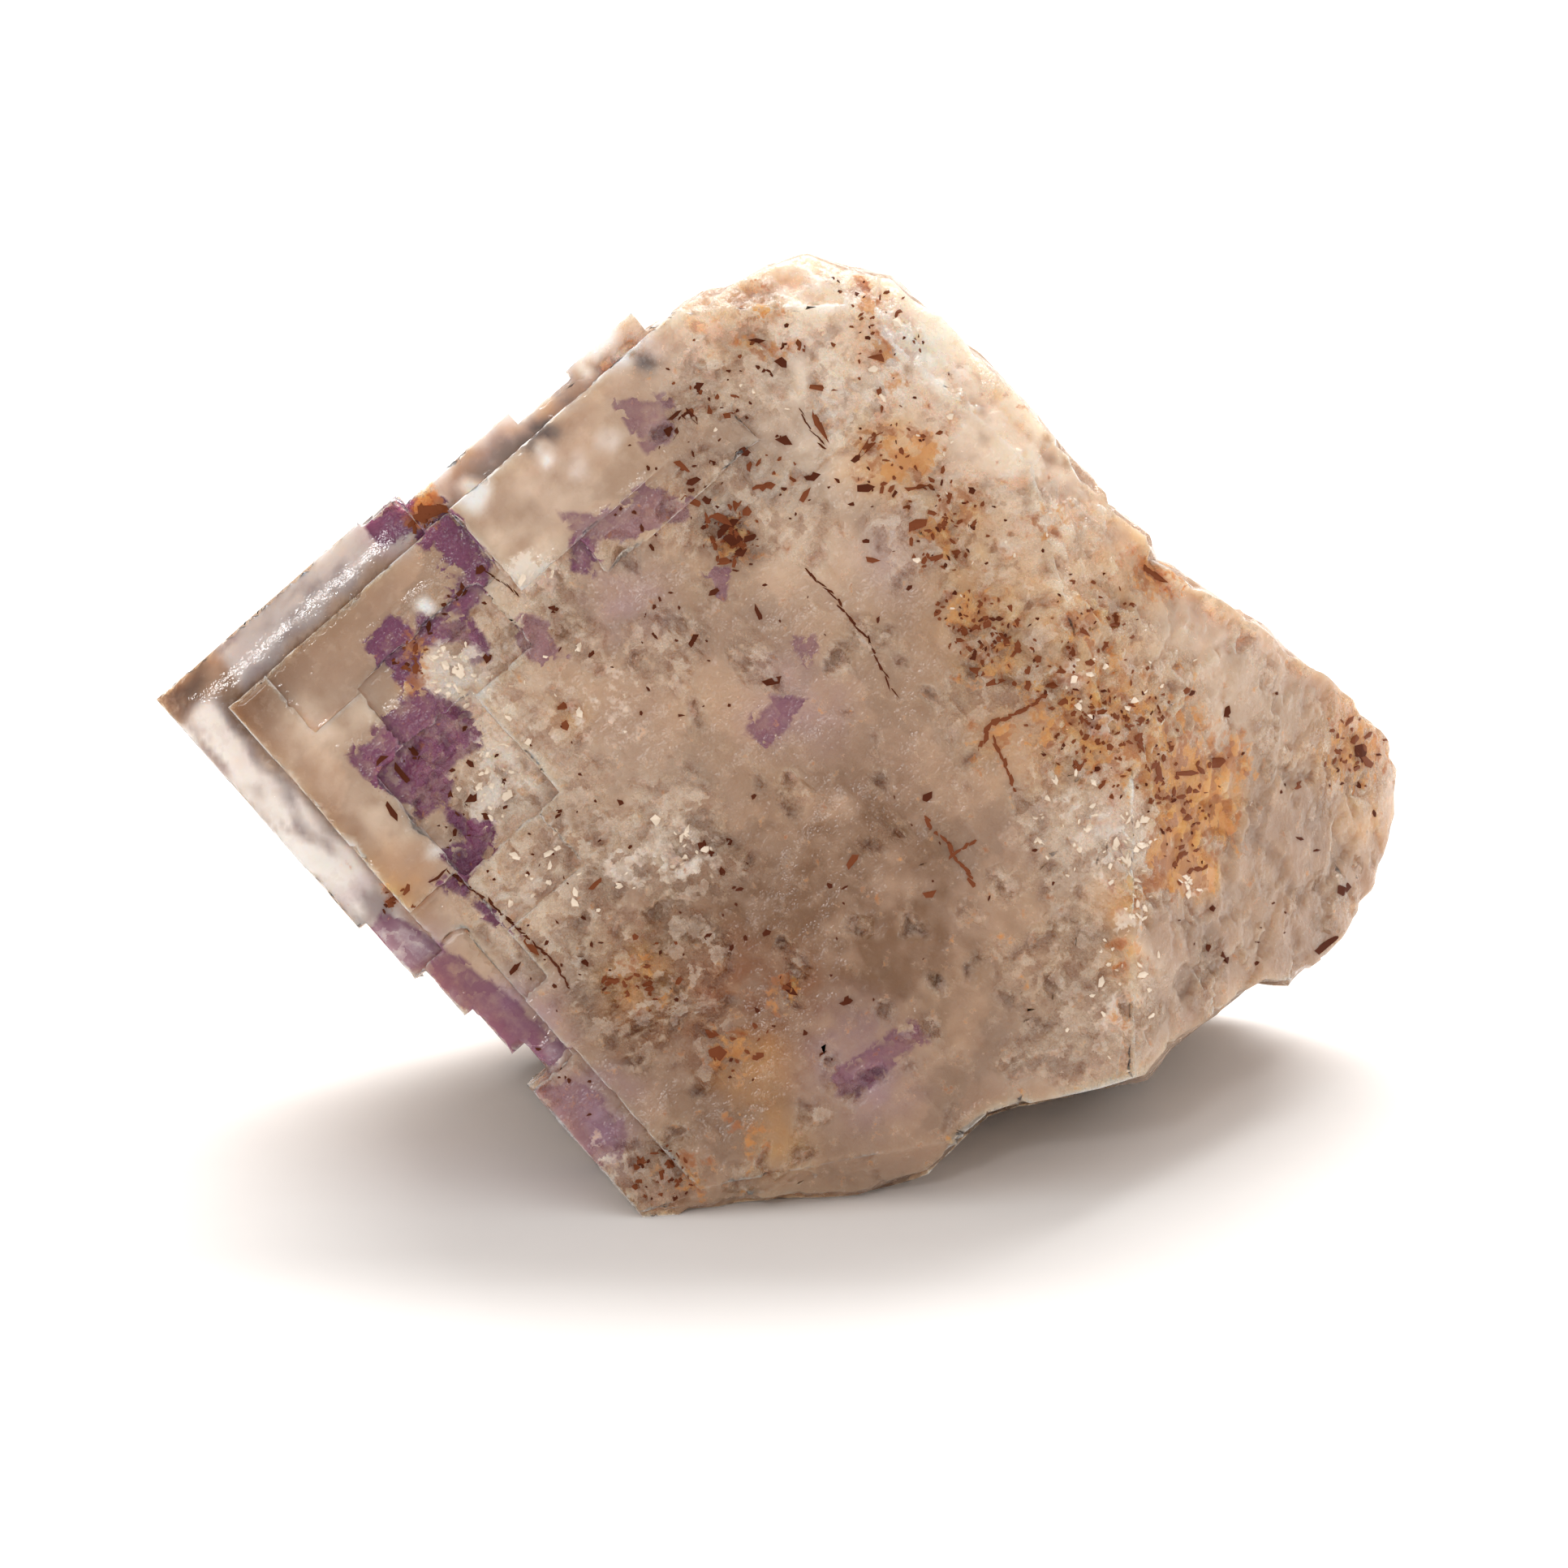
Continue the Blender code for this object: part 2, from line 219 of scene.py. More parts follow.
# Purple zones, each as its strength and its outline of (rise, fall) points.
PURPLE_ZONES = (
    (1.0, ((10.8, 0.3), (12.6, 0.2), (13.8, 1.5), (13.7, 4.8), (12.5, 5.0), (12.0, 1.8), (10.7, 1.4))),
    (0.8, ((12.0, 3.6), (13.4, 4.9), (12.6, 5.7), (11.0, 5.7), (10.8, 4.9), (11.8, 4.7))),
    (0.75, ((10.0, 4.5), (11.6, 5.6), (11.1, 7.5), (10.5, 7.3), (10.5, 6.4), (9.4, 5.4))),
    (0.9, ((7.6, 4.0), (9.3, 3.6), (9.4, 4.8), (8.5, 7.0), (7.8, 6.2))),
    (0.72, ((7.8, 6.4), (9.2, 8.2), (8.6, 10.2), (7.1, 10.0), (6.0, 10.9), (4.9, 10.5), (4.2, 8.0),
            (4.2, 6.8))),
    (0.9, ((5.7, 10.4), (6.4, 12.2), (7.1, 12.6), (6.5, 13.3), (4.3, 13.6), (4.2, 12.1), (5.6, 12.4))),
    (0.8, ((3.5, 12.7), (4.2, 12.8), (4.8, 16.7), (4.1, 15.0))),
    (0.5, ((13.0, 7.0), (13.7, 8.0), (13.4, 9.4), (12.2, 9.0), (12.1, 8.0))),
    (0.45, ((21.6, 3.1), (23.3, 4.4), (22.5, 5.7), (21.2, 5.6))),
    (0.5, ((17.0, 5.0), (18.3, 6.3), (20.4, 6.6), (21.3, 8.2), (20.7, 8.7), (18.1, 7.5), (16.9, 6.3))),
    (0.7, ((16.7, 6.1), (17.6, 6.9), (16.4, 7.7), (15.9, 7.1))),
    (0.5, ((19.9, 10.7), (20.6, 11.2), (19.6, 11.8))),
    (0.4, ((20.4, 14.9), (21.3, 15.5), (20.5, 16.3))),
    (0.55, ((16.9, 16.5), (18.5, 16.1), (19.3, 17.3), (17.1, 17.7))),
    (0.6, ((-0.2, 12.6), (1.3, 12.3), (2.2, 15.5), (2.8, 18.5), (3.0, 21.5), (1.6, 21.1), (0.8, 16.2))),
    (0.35, ((0.4, 21.4), (2.6, 22.3), (2.8, 24.8), (2.1, 25.8), (0.9, 25.8))),
    (0.5, ((9.5, 29.7), (10.8, 29.0), (14.0, 29.6), (14.2, 30.5), (11.8, 30.3), (10.5, 30.4))),
)
# Rust patches: (rise, fall, reach, how strong).
RUST_PATCHES = (
    (13.2, 1.6, 0.9, 1.3), (31.6, 7.1, 0.6, 1.1), (31.0, 8.7, 0.6, 1.1), (31.9, 6.3, 0.5, 0.9),
    (30.6, 10.0, 0.5, 0.8), (28.4, 11.8, 1.4, 0.9), (29.2, 12.7, 1.3, 0.9), (28.0, 15.6, 1.2, 0.9),
    (29.2, 15.3, 1.1, 0.9), (26.7, 19.0, 1.2, 0.8), (26.3, 20.5, 1.4, 0.9), (21.4, 10.5, 0.9, 1.0),
    (30.1, 22.5, 1.5, 0.7), (31.4, 18.1, 1.0, 0.7), (33.3, 22.6, 1.3, 1.0), (27.7, 24.7, 2.6, 0.75),
    (28.5, 26.8, 2.6, 0.8), (26.5, 24.1, 2.4, 0.7), (30.2, 27.4, 1.7, 0.6), (28.8, 29.6, 1.6, 1.5),
    (28.1, 31.1, 1.5, 1.6), (26.1, 32.0, 1.3, 1.4), (30.6, 30.1, 1.2, 1.1), (34.7, 33.5, 1.5, 0.9),
    (35.5, 33.0, 1.2, 0.8), (7.0, 21.1, 1.2, 0.7), (6.2, 20.7, 0.9, 0.6), (7.7, 25.7, 1.2, 0.75),
    (6.4, 28.6, 1.2, 0.45), (11.1, 25.2, 0.7, 0.8), (28.6, 4.2, 1.0, 0.6), (27.5, 5.6, 1.0, 0.6),
    (0.8, 10.7, 1.3, 0.55), (1.8, 12.0, 0.9, 1.1), (9.0, 5.3, 0.7, 0.9), (8.5, 6.1, 0.7, 0.9),
    (24.1, 31.3, 1.0, 0.7), (22.3, 33.2, 1.1, 0.6), (20.6, 35.2, 1.0, 0.5), (3.4, 28.4, 1.2, 0.6),
    (24.0, 23.4, 1.3, 0.6),
)
# White crumbly patches, listed as the rust is.
WHITE_PATCHES = (
    (9.7, 7.2, 1.3, 1.2), (9.2, 6.6, 0.9, 1.0), (24.7, 28.1, 2.0, 0.45), (24.4, 30.0, 1.6, 0.5),
    (26.2, 32.8, 0.6, 1.3), (27.7, 25.7, 0.7, 1.2), (25.4, 29.6, 0.8, 1.1), (11.9, 18.6, 1.6, 0.6),
    (9.8, 17.2, 1.3, 0.6), (33.2, 10.2, 2.2, 0.6), (8.7, 10.6, 1.2, 0.7), (7.4, 11.6, 1.1, 0.8),
    (14.6, 6.2, 1.2, 0.8), (23.0, 32.4, 1.1, 0.6), (20.5, 35.0, 1.3, 0.6), (28.2, 23.4, 0.8, 0.8),
    (30.6, 5.4, 2.0, 0.5), (13.5, 12.0, 2.4, 0.4), (1.0, 25.5, 1.4, 0.5),
)


def strongest_patch(patches, rise, fall):
    """The strongest of the round patches at a point."""
    best = 0.0
    for patch_rise, patch_fall, reach, strength in patches:
        off = math.hypot(rise - patch_rise, fall - patch_fall)
        if off < 1.6 * reach:
            best = max(best, strength * (1.0 - smooth_step(0.2 * reach, 1.6 * reach, off)))
    return best


def inside_outline(outline, rise, fall):
    """How far a point is inside an outline, in millimetres: outside it is below zero."""
    nearest, within = 99.0, False
    for (a, c), (b, d) in zip(outline, outline[1:] + outline[:1]):
        along_rise, along_fall = b - a, d - c
        share = ((rise - a) * along_rise + (fall - c) * along_fall) / (along_rise ** 2 + along_fall ** 2)
        share = min(max(share, 0.0), 1.0)
        nearest = min(nearest, math.hypot(rise - a - share * along_rise, fall - c - share * along_fall))
        if (c > fall) != (d > fall) and rise < a + (fall - c) * along_rise / along_fall:
            within = not within
    return nearest if within else -nearest


def purple_at(rise, fall):
    """How far a point is inside the nearest purple zone, and how strong that zone is."""
    inside, strength = -1.0, 0.0
    for amount, outline in PURPLE_ZONES:
        if not (min(a for a, _ in outline) - 1.0 < rise < max(a for a, _ in outline) + 1.0
                and min(c for _, c in outline) - 1.0 < fall < max(c for _, c in outline) + 1.0):
            continue
        depth = inside_outline(outline, rise, fall)
        if depth > inside:
            inside, strength = depth, amount
    return min(inside, 1.0), strength


# The stone's colours, with painted light and shade among them, and where each lies: (rise, fall, reach, how
# strong).
STONE, STONE_WARM = Vector((0.465, 0.315, 0.222)), Vector((0.535, 0.365, 0.25))
# Brown of the stone and painted shade: deepest in the lower middle, with painted shade at the plateau's inner
# corner and at the cube's outer corner.
BROWN_AND_SHADE = Vector((0.25, 0.135, 0.072))
# Cream of the stone and painted glow: lightest at the top and upper right, where the lamp behind shines
# through.
CREAM_AND_GLOW = Vector((0.93, 0.765, 0.615))
# Painted shade and dark reflections, on the glassy ledge at the top left and at the cube's outer corner.
PAINTED_DARK = Vector((0.13, 0.11, 0.11))
GLASSY = Vector((0.74, 0.62, 0.60))
OCHRE = Vector((0.76, 0.42, 0.16))
RUSSET = Vector((0.30, 0.115, 0.05))
LILAC = Vector((0.50, 0.34, 0.40))
# Painted highlights: white glints on the glassy ledge, on the ledge steps and along the rim.
PAINTED_HIGHLIGHT = Vector((1.0, 0.95, 0.91))
COLOUR_PATCHES = (
    (BROWN_AND_SHADE, (
        (10.4, 22.9, 6.5, 0.95), (14.5, 26.0, 6.0, 0.8), (16.5, 23.5, 5.0, 0.7), (8.0, 27.5, 4.5, 0.6),
        (13.0, 19.0, 4.5, 0.4), (20.0, 31.0, 5.5, 0.3), (30.0, 36.0, 5.0, 0.3), (2.3, 2.9, 1.4, 0.7),
        (24.0, 20.0, 4.0, 0.25), (2.5, 26.5, 3.0, 0.3), (4.0, 24.0, 2.5, 0.35), (3.0, 30.0, 2.0, 0.4),
        (21.5, 10.4, 1.3, 1.1), (6.5, 22.0, 2.5, 0.4), (1.0, 0.9, 1.9, 0.75),
    )),
    (CREAM_AND_GLOW, (
        (32.0, 9.0, 5.5, 1.5), (31.0, 4.5, 4.0, 0.7), (33.0, 14.0, 4.0, 1.3), (31.5, 19.0, 3.0, 0.8),
        (27.0, 3.0, 3.5, 0.7), (26.0, 11.5, 4.0, 0.4), (20.5, 3.0, 3.0, 0.3), (25.0, 29.0, 2.6, 0.6),
        (10.0, 8.5, 2.2, 0.7), (32.0, 26.0, 4.0, 0.4), (9.0, 11.5, 2.6, 0.6), (22.3, 34.0, 1.2, 0.6),
        (36.0, 36.0, 2.0, 0.7), (11.5, 16.5, 3.0, 0.3), (5.0, 16.0, 3.0, 0.35), (17.5, 4.0, 3.0, 0.35),
        (3.6, 5.5, 2.0, 0.45), (5.5, 6.5, 1.6, 0.4), (3.6, 9.5, 1.6, 0.4), (14.5, 5.5, 2.0, 0.55),
        (18.0, 36.0, 3.0, 0.4),
    )),
    (RUSSET, ((9.0, 24.6, 2.8, 0.65), (11.2, 25.4, 1.8, 0.5), (6.8, 22.0, 1.8, 0.4), (21.5, 10.4, 0.9, 0.8))),
    (OCHRE, (
        (2.0, 12.0, 1.6, 0.5), (12.6, 1.6, 0.9, 0.45), (30.6, 8.4, 0.9, 0.6), (28.4, 12.2, 2.0, 0.6),
        (28.6, 16.0, 2.2, 0.5), (28.0, 20.0, 3.0, 0.45), (28.0, 25.6, 3.6, 0.5), (31.6, 21.5, 2.4, 0.4),
        (28.4, 30.4, 1.8, 0.9), (26.4, 32.4, 1.0, 0.9), (23.6, 31.5, 1.2, 0.5), (22.0, 33.4, 1.0, 0.45),
        (34.8, 33.2, 1.8, 0.5), (33.6, 35.6, 1.6, 0.4), (7.0, 21.0, 1.6, 0.35), (8.4, 27.0, 1.6, 0.4),
        (7.0, 29.5, 1.4, 0.35), (9.0, 5.3, 0.7, 0.9), (8.3, 6.1, 0.7, 0.9), (27.0, 4.6, 1.4, 0.3),
        (11.8, 11.4, 0.8, 0.5), (24.6, 23.4, 1.6, 0.3),
    )),
    (LILAC, (
        (1.6, 19.5, 2.2, 0.6), (1.4, 24.0, 2.4, 0.55), (0.8, 14.0, 1.6, 0.5), (11.6, 1.0, 1.2, 0.6),
        (16.8, 9.5, 1.6, 0.3), (19.0, 17.0, 2.0, 0.25), (26.0, 15.0, 1.6, 0.2), (11.5, 29.5, 2.4, 0.35),
    )),
    (GLASSY, ((14.8, 0.7, 1.2, 0.8), (16.6, 0.8, 1.2, 0.7), (18.6, 0.8, 1.3, 0.8), (20.6, 0.9, 1.3, 0.8),
              (22.6, 1.2, 1.2, 0.8), (24.0, 2.2, 1.0, 0.5), (25.8, 29.0, 1.2, 0.3))),
    (PAINTED_DARK, ((18.9, 2.2, 0.8, 1.0), (18.0, 2.2, 0.7, 0.9), (17.0, 1.6, 0.7, 0.5), (20.3, 1.7, 0.8, 0.45),
             (16.0, 1.4, 0.7, 0.5), (23.7, 3.0, 0.5, 0.7), (0.9, 0.8, 1.7, 0.3))),
    (PAINTED_HIGHLIGHT, (
        (31.8, 9.4, 1.5, 0.5), (18.1, 3.1, 0.5, 1.0), (21.7, 1.8, 0.4, 1.0), (23.2, 2.2, 0.5, 0.7),
        (22.8, 1.3, 0.6, 0.7), (13.8, 1.9, 0.5, 0.8), (15.1, 2.3, 0.6, 0.8), (10.6, 4.3, 0.45, 0.9),
        (18.9, 3.9, 0.6, 0.5), (20.4, 4.2, 0.5, 0.5), (2.6, 20.9, 0.35, 0.9), (0.9, 16.6, 0.35, 0.6),
        (4.4, 12.0, 0.4, 0.5),
    )),
)


def rim_colour(rise, fall):
    """The glassy rim's colour, with a painted highlight whitest along its middle, and how far a point is in
    it.
    """
    lower = min(1.95 - rise, fall - 1.2, 15.0 - fall)
    upper = min(2.1 - fall, rise - 2.9, 12.4 - rise)
    across, along = (rise, fall) if lower > upper else (fall, rise)
    streak = noise.noise(Vector((across * 1.3, 5.0, along * 0.45)))
    streak += 0.5 * noise.noise(Vector((across * 3.0, 9.0, along)))
    # Painted highlight: a white streak along the rim's middle, stronger on the lower rim than on the upper.
    highlight_share = smooth_step(-0.35, 0.5, streak + 0.45 * (1.0 - abs(across - 0.8)))
    colour = (GLASSY * 0.55).lerp(PAINTED_HIGHLIGHT, highlight_share * (0.85 if lower > upper else 0.42))
    lilac = 0.35 * smooth_step(0.1, 0.5, noise.noise(Vector((along * 0.6, 2.0, 3.0))))
    return colour.lerp(LILAC, lilac), smooth_step(-0.15, 0.45, max(lower, upper))


def stone_colour_and_light(place, rise, fall, front):
    """The stone's soft colour at a point, with its painted glow, highlights and shade, before its fine marks.
    """
    colour = STONE.lerp(STONE_WARM, smooth_step(-0.4, 0.4, noise.noise(place * 0.28)))
    jostled = place / 2.1 + noise.noise_vector(place * 0.8) * 0.15
    _, middles = noise.voronoi(jostled, distance_metric="CHEBYCHEV")
    colour = colour * (1.0 + 0.13 * noise.cell(middles[0] * 13.1))
    if front == 0.0:
        return colour
    cloud = 0.8 * noise.noise(place * 0.5) + 0.8 * noise.noise(place * 1.1) + 0.6 * noise.noise(place * 2.1)
    for patch_colour, patches in COLOUR_PATCHES:
        share = strongest_patch(patches, rise, fall)
        share = min(max(share * (1.0 + 0.9 * cloud), 0.0), 1.0)
        colour = colour.lerp(patch_colour, share * front)
    # Painted shade along the plateau's inner edges, darkest near its corner and fading inwards.
    inside = min(rise - 1.95, fall - 2.15)
    if inside > 0.0:
        shade = smooth_step(13.5, 9.0, fall) * smooth_step(12.0, 7.0, rise) * smooth_step(1.5, 0.0, inside)
        colour = colour.lerp(BROWN_AND_SHADE, 0.5 * shade * front)
    rim, within = rim_colour(rise, fall)
    return colour.lerp(rim, within * front)


place_values, growth_values, colour_values, mark_values = [], [], [], []
for (rise, deep, fall), front, polish, crumbly in zip(places, seen_front, polished, crumbled):
    place = Vector((rise, deep, fall))
    wander = noise.noise_vector(place * 0.9) * 0.5 + noise.noise_vector(place * 0.35) * 0.6
    inside, strength = purple_at(rise, fall) if front > 0.0 or deep < 6.0 else (-1.0, 0.0)
    place_values += [rise, deep, fall]
    growth_values += [inside, strength, polish]
    rise, fall = rise + 0.6 * wander.x, fall + 0.6 * wander.z
    colour_values += [*stone_colour_and_light(place, rise, fall, front), crumbly]
    mark_values += [
        strongest_patch(RUST_PATCHES, rise, fall) * front,
        strongest_patch(WHITE_PATCHES, rise, fall) * front,
        0.0,
    ]
for label, values in (("cube_place", place_values), ("growth", growth_values), ("marks", mark_values)):
    crystal_mesh.attributes.new(label, "FLOAT_VECTOR", "POINT").data.foreach_set("vector", values)
crystal_mesh.attributes.new("stone_colour_and_light", "FLOAT_COLOR", "POINT").data.foreach_set("color", colour_values)

# The crystal's finish
# Fluorite is clear where it kept its polish and milky where it is etched: light goes in, scatters and
# comes out warmer. All of its colour and dullness is laid over that one clear stone.
CLEAR_SHARE = 0.18
FLUORITE_IOR = 1.434

fluorite = bpy.data.materials.new("fluorite_stone")
fluorite.use_nodes = True
stone = fluorite.node_tree
stone.nodes.clear()


def put(tree, kind, inputs=None, **settings):
    """Puts a node into a tree, with its settings and with values or links for its inputs."""
    node = tree.nodes.new(kind)
    for name, value in settings.items():
        setattr(node, name, value)
    for name, value in (inputs or {}).items():
        if isinstance(value, bpy.types.NodeSocket):
            tree.links.new(value, node.inputs[name])
        else:
            node.inputs[name].default_value = value
    return node


def calculate(tree, operation, *values, clamp=False):
    """One step of arithmetic."""
    node = put(tree, "ShaderNodeMath", dict(enumerate(values)), operation=operation, use_clamp=clamp)
    return node.outputs[0]


def ramp(tree, value, low, high):
    """Rises smoothly from 0 at low to 1 at high."""
    inputs = {"Value": value, "From Min": low, "From Max": high}
    return put(tree, "ShaderNodeMapRange", inputs, interpolation_type="SMOOTHSTEP").outputs["Result"]


def tint(tree, share, under, over, strength=1.0):
    """Lays one colour over another, by a share of the given strength."""
    if strength != 1.0:
        share = calculate(tree, "MULTIPLY", share, strength)
    node = put(tree, "ShaderNodeMix", {"Factor": share}, data_type="RGBA", clamp_factor=True)
    for socket, value in ((node.inputs[6], under), (node.inputs[7], over)):
        if isinstance(value, bpy.types.NodeSocket):
            tree.links.new(value, socket)
        else:
            socket.default_value = (*value, 1.0)
    return node.outputs[2]


def laid_down(name):
    """What was laid down on the skin under a name, as a vector's three parts."""
    vector = put(stone, "ShaderNodeAttribute", attribute_name=name).outputs["Vector"]
    return vector, put(stone, "ShaderNodeSeparateXYZ", {0: vector}).outputs


place = laid_down("cube_place")[0]
purple_inside, purple_strength, polish = laid_down("growth")[1]
rusted, whitened, _ = laid_down("marks")[1]
# The soft colour's alpha says how crumbly the skin is.
body = put(stone, "ShaderNodeAttribute", attribute_name="stone_colour_and_light")
crumbly = body.outputs["Alpha"]

# The fine marks are crumbs and square-sided blocks, as the cube's etching leaves them.
CRUMBS_IN_A_MILLIMETRE = 1.7
crumb_inputs = {"Vector": place, "Scale": CRUMBS_IN_A_MILLIMETRE, "Detail": 3.0, "Roughness": 0.66}
crumbs = put(stone, "ShaderNodeTexNoise", crumb_inputs).outputs
crumb = crumbs["Fac"]
jostle = put(stone, "ShaderNodeVectorMath", {0: crumbs["Color"], "Scale": 0.7}, operation="SCALE").outputs[0]
jostled = put(stone, "ShaderNodeVectorMath", {0: place, 1: jostle}, operation="ADD").outputs[0]
block_inputs = {"Vector": jostled, "Scale": CRUMBS_IN_A_MILLIMETRE}
blocks = put(stone, "ShaderNodeTexVoronoi", block_inputs, distance="CHEBYCHEV").outputs
block_pick = put(stone, "ShaderNodeSeparateColor", {0: blocks["Color"]}).outputs

# Colour, from the soft stone up, with painted shade in the crumbs' hollows and painted light on their tops
# and on the raised blocks.
marked = calculate(stone, "MULTIPLY_ADD", crumbly, 0.65, 0.25)
# Darker brown in the low parts of the crumb relief: painted shade, with some of the pits' own brown.
hollow_shade = calculate(stone, "MULTIPLY", ramp(stone, crumb, 0.47, 0.36), marked)
colour = tint(stone, hollow_shade, body.outputs["Color"], (0.32, 0.145, 0.075), 0.32)
# Lighter on the high parts of the crumbs: painted light.
crumb_top_light = calculate(stone, "MULTIPLY", ramp(stone, crumb, 0.53, 0.64), marked)
colour = tint(stone, crumb_top_light, colour, (0.87, 0.68, 0.52), 0.4)
# Lighter on the raised blocks and darker on the sunk ones, as painted light and shade.
raised_block_light = calculate(stone, "MULTIPLY", ramp(stone, block_pick["Red"], 0.62, 0.9), crumbly)
colour = tint(stone, raised_block_light, colour, (0.92, 0.75, 0.61), 0.35)
sunk_block_shade = calculate(stone, "MULTIPLY", ramp(stone, block_pick["Red"], 0.22, 0.08), crumbly)
colour = tint(stone, sunk_block_shade, colour, (0.32, 0.145, 0.075), 0.34)

ragged = calculate(stone, "MULTIPLY_ADD", crumb, 0.7, -0.6)
ragged = calculate(stone, "MULTIPLY_ADD", block_pick["Green"], 0.45, ragged)
ragged = calculate(stone, "MULTIPLY", ragged, calculate(stone, "MULTIPLY_ADD", polish, -0.6, 1.0))
ragged = calculate(stone, "ADD", ragged, purple_inside)
purple = calculate(stone, "MULTIPLY", ramp(stone, ragged, -0.14, 0.12), purple_strength)
purple_depth = calculate(stone, "MULTIPLY", crumb, 1.3)
purple_depth = calculate(stone, "MULTIPLY_ADD", block_pick["Green"], 0.35, purple_depth)
purple_cover = calculate(stone, "MULTIPLY", purple, ramp(stone, purple_depth, 0.25, 1.05))
purple_cover = calculate(stone, "MULTIPLY_ADD", purple, 0.4, purple_cover, clamp=True)
colour = tint(stone, purple_cover, colour, (0.205, 0.045, 0.13), 0.94)
purple_line = calculate(stone, "MULTIPLY", purple, ramp(stone, ragged, 0.3, 0.02))
colour = tint(stone, purple_line, colour, (0.12, 0.03, 0.08), 0.45)

white = ramp(stone, calculate(stone, "MULTIPLY_ADD", crumb, 1.5, whitened), 1.05, 1.45)
white = calculate(stone, "MULTIPLY", white, ramp(stone, block_pick["Blue"], 0.1, 0.5))
colour = tint(stone, white, colour, (0.99, 0.86, 0.75), 0.8)

stain = calculate(stone, "MULTIPLY_ADD", crumb, 3.0, rusted)
stain = calculate(stone, "MULTIPLY_ADD", block_pick["Blue"], 0.5, stain)
stain = calculate(stone, "MULTIPLY_ADD", polish, -0.5, stain)
stain = ramp(stone, stain, 2.15, 2.75)
rust_tone = tint(stone, ramp(stone, block_pick["Red"], 0.2, 0.8), (0.74, 0.33, 0.08), (0.44, 0.14, 0.03))
colour = tint(stone, stain, colour, rust_tone, 0.78)

# Dullness and the finest relief.
dull = calculate(stone, "MULTIPLY_ADD", polish, -0.09, calculate(stone, "MULTIPLY_ADD", crumbly, 0.04, 0.05))
dull = calculate(stone, "MULTIPLY_ADD", crumb, 0.36, dull)
dull = calculate(stone, "MULTIPLY_ADD", calculate(stone, "MAXIMUM", stain, white), 0.2, dull, clamp=True)
steps = calculate(stone, "MULTIPLY_ADD", block_pick["Red"], 0.7, calculate(stone, "MULTIPLY", crumb, 1.6))
uneven = calculate(stone, "MULTIPLY_ADD", polish, -0.12, calculate(stone, "MULTIPLY_ADD", crumbly, 0.8, 0.2))
fine_relief = calculate(stone, "MULTIPLY", steps, uneven)
frosting = put(stone, "ShaderNodeBump", {"Height": fine_relief, "Strength": 0.9, "Distance": 0.3 * MM})

shader = put(
    stone,
    "ShaderNodeBsdfPrincipled",
    {
        "Base Color": colour,
        "Roughness": dull,
        "Normal": frosting.outputs[0],
        "IOR": FLUORITE_IOR,
        "Transmission Weight": CLEAR_SHARE,
        "Subsurface Weight": 1.0,
        "Subsurface Radius": (1.0, 0.78, 0.6),
        "Subsurface Scale": 2.6 * MM,
    },
)
absorbs = put(stone, "ShaderNodeVolumeAbsorption", {"Color": (0.80, 0.62, 0.48, 1.0), "Density": 22.0})
put(stone, "ShaderNodeOutputMaterial", {"Surface": shader.outputs[0], "Volume": absorbs.outputs[0]})
crystal_mesh.materials.append(fluorite)

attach(crystal, "root")
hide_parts("fluorite_crystal")

# The flecks and crumbs
# Iron oxide fills the pits and cracks with dark specks and rusty crumbs, and the bruised places carry
# loose white crumbs of the fluorite itself. Each lies in the skin and follows it.
DARK_IRON, RUSTY_IRON, LOOSE_FLUORITE = (0.085, 0.019, 0.007), (0.18, 0.045, 0.012), (0.82, 0.69, 0.55)

